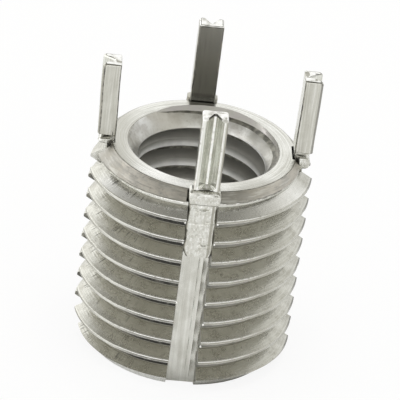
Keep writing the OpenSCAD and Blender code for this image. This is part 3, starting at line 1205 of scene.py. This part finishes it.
def cap_finish(node, rim, r, s):
    """Finish of one face of a key's sheared end and of its edge."""
    for mark_r, mark_s, reach_r, reach_s, finish in CAP_MARKS[node]:
        if ((r - mark_r) / reach_r) ** 2 + ((s - mark_s) / reach_s) ** 2 < 1:
            return finish
    # For the side and back keys, a painted highlight on the edge of the cap and a painted shade
    # line just inside it; painted shade in the notch over the groove.
    if rim <= 0:
        return SHEARED if node == "key_front" else LINE if rim < 0 else PAINTED_SHADE
    notch = abs(s) < GROOVE_HALF - 0.04 and r > KEY_IN_R + 0.32
    return PAINTED_SHADE if notch and rim == 1 else SHEARED


# -------- stage

CAMERA_AZIMUTH = -4.654
CAMERA_ELEVATION = 29.484
CAMERA_ROLL = 7.562
CAMERA_DISTANCE = 177.96
CAMERA_AIM = (0.187, 8.584)     # sideways, and height above the floor
CAMERA_LENS = 296.04


def outward(azimuth, elevation):
    """Direction from the insert; azimuth 0 is the front."""
    a, e = radians(azimuth), radians(elevation)
    return Vector((sin(a) * cos(e), -cos(a) * cos(e), sin(e)))


def build_floor():
    f = Finish("pale_floor")
    paint = f.add("ShaderNodeBsdfDiffuse", None, {"Color": (0.9, 0.9, 0.9, 1)})
    glow = f.add("ShaderNodeEmission", None, {"Color": (1, 1, 1, 1), "Strength": 1.0})
    both = f.add("ShaderNodeMixShader", None, {0: f.camera_ray() * 0.88, 1: paint, 2: glow})
    f.add("ShaderNodeOutputMaterial", None, {"Surface": both}, out=None)
    size = 0.4 / MM
    corners = [(-size, -size, 0), (size, -size, 0), (size, size, 0), (-size, size, 0)]
    floor = new_object("floor", corners, [(0, 1, 2, 3)], [f.material])
    floor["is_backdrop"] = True


def build_world():
    """A soft tent: bright round the horizon, darker overhead."""
    world = bpy.data.worlds.new("soft_tent")
    world.use_nodes = True
    bpy.context.scene.world = world
    f = ShaderTree(world.node_tree)
    direction = f.add("ShaderNodeTexCoord", None, None, out="Generated")
    up, side = (
        f.add("ShaderNodeSeparateXYZ", None, {0: direction}, out=axis) for axis in "ZX")
    tent = f.add("ShaderNodeValToRGB", {"stops": [
        (0.00, (0.80, 0.80, 0.78, 1)),
        (0.20, (0.90, 0.90, 0.89, 1)),
        (0.46, (0.94, 0.94, 0.93, 1)),
        (0.60, (0.62, 0.62, 0.60, 1)),
        (0.72, (0.42, 0.415, 0.39, 1)),
        (0.88, (0.26, 0.255, 0.23, 1)),
        (1.00, (0.14, 0.137, 0.12, 1)),
    ]}, {0: up})
    low = up.ramp(0.52, 0.40)
    middle = up.ramp(0.56, 0.68) * up.ramp(0.94, 0.82)
    strength = 1.4 - side * low * 0.7 + side * middle * 0.6
    lit = f.add("ShaderNodeBackground", None, {"Color": tent, "Strength": strength})
    white = f.add("ShaderNodeBackground", None, {"Color": (1, 1, 1, 1), "Strength": 1.0})
    both = f.add("ShaderNodeMixShader", None, {0: f.camera_ray(), 1: lit, 2: white})
    f.add("ShaderNodeOutputWorld", None, {"Surface": both}, out=None)


def new_lamp(name, shape, size, power):
    data = bpy.data.lights.new(name, "AREA")
    data.shape = shape
    data.size = size
    data.energy = power
    return add_object(name, data)


def build_bore_light():
    """Light that comes up through the bore from the table it stands on."""
    lamp = new_lamp("bore_light", "DISK", 2 * (BORE_R - 0.3) * MM, 0.0005)
    lamp.location = (0, 0, 0.2 * MM)
    lamp.rotation_euler = (pi, 0, 0)
    lamp.visible_camera = False


def build_overhead_lamp():
    """A soft lamp overhead, kept out of reflections."""
    lamp = new_lamp("overhead_lamp", "SQUARE", 0.3, 1.0)
    way = outward(0, 88)
    lamp.location = Vector((0, 0, SLEEVE_LENGTH / 2 * MM)) + way * 0.5
    lamp.rotation_euler = way.to_track_quat("Z", "Y").to_euler()
    lamp.visible_glossy = False


def build_camera():
    a, roll = radians(CAMERA_AZIMUTH), radians(CAMERA_ROLL)
    back = outward(CAMERA_AZIMUTH, CAMERA_ELEVATION)
    right = Vector((cos(a), sin(a), 0))
    up = back.cross(right)
    side = right * cos(roll) + up * sin(roll)
    top = up * cos(roll) - right * sin(roll)
    aim = right * CAMERA_AIM[0] + Vector((0, 0, CAMERA_AIM[1]))
    data = bpy.data.cameras.new("camera")
    data.lens = CAMERA_LENS
    data.sensor_width = 36
    data.clip_start = 0.01
    data.clip_end = 10
    camera = add_object("camera", data)
    turn = Matrix((side, top, back)).transposed().to_4x4()
    camera.matrix_world = Matrix.Translation((aim + back * CAMERA_DISTANCE) * MM) @ turn
    bpy.context.scene.camera = camera


# -------- assembly

build_camera()
build_floor()
build_world()
build_overhead_lamp()
build_bore_light()
bpy.context.scene.view_settings.view_transform = "Standard"

sleeve = build_sleeve([
    turned_thread("outside_thread_metal"),
    crest_flat("crest_metal"),
    edge_highlight("burnished_metal"),
    thread_root("root_metal"),
    faced_ring("faced_metal"),
    mouth_cone("mouth_metal"),
    bore_thread("inside_thread_metal"),
    drawn_lines("broached_metal", STEEL_LIGHT, 0.25),
    top_chamfer("chamfer_metal"),
    # The lower flanks, painted duller than the upper flanks as shade.
    dull_turned("underside_metal", STEEL_DULL, STEEL_DULL),
    clouded_shade("shaded_metal", MARK_AND_SHADE_GREY),
    dull_turned("step_wall_metal", MAUVE, STEEL, metallic=0.5),
    # Painted light on the left slot's upper walls.
    drawn_lines("pocket_wall_metal", BURNISHED_AND_HIGHLIGHT, 0.3),
])
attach(sleeve, "root")
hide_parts("insert_body")

key_finishes = [
    drawn_lines("drawn_metal", STEEL, 0.35),
    sheared_end("sheared_metal"),
    # Painted highlights on the keys' edges.
    edge_highlight("drawn_edge_metal"),
    # Painted shade in two tones for the keys' corners, gaps and outlines.
    clouded_shade("dull_metal", STEEL_DULL),
    clouded_shade("dark_metal", SHADE),
    struck_metal("struck_metal"),
    drawn_lines("land_metal", LAND_LIGHT, 0.6),
    inner_face("inner_face_metal"),
]
for node, angle in KEY_ANGLES.items():
    key = build_key(node, angle, key_finishes)
    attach(key, "root")
    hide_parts(node)

sizes = {"cad": cad_bounds, "visual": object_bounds()}
{k: [list(corner) for corner in v] for k, v in sizes.items()}
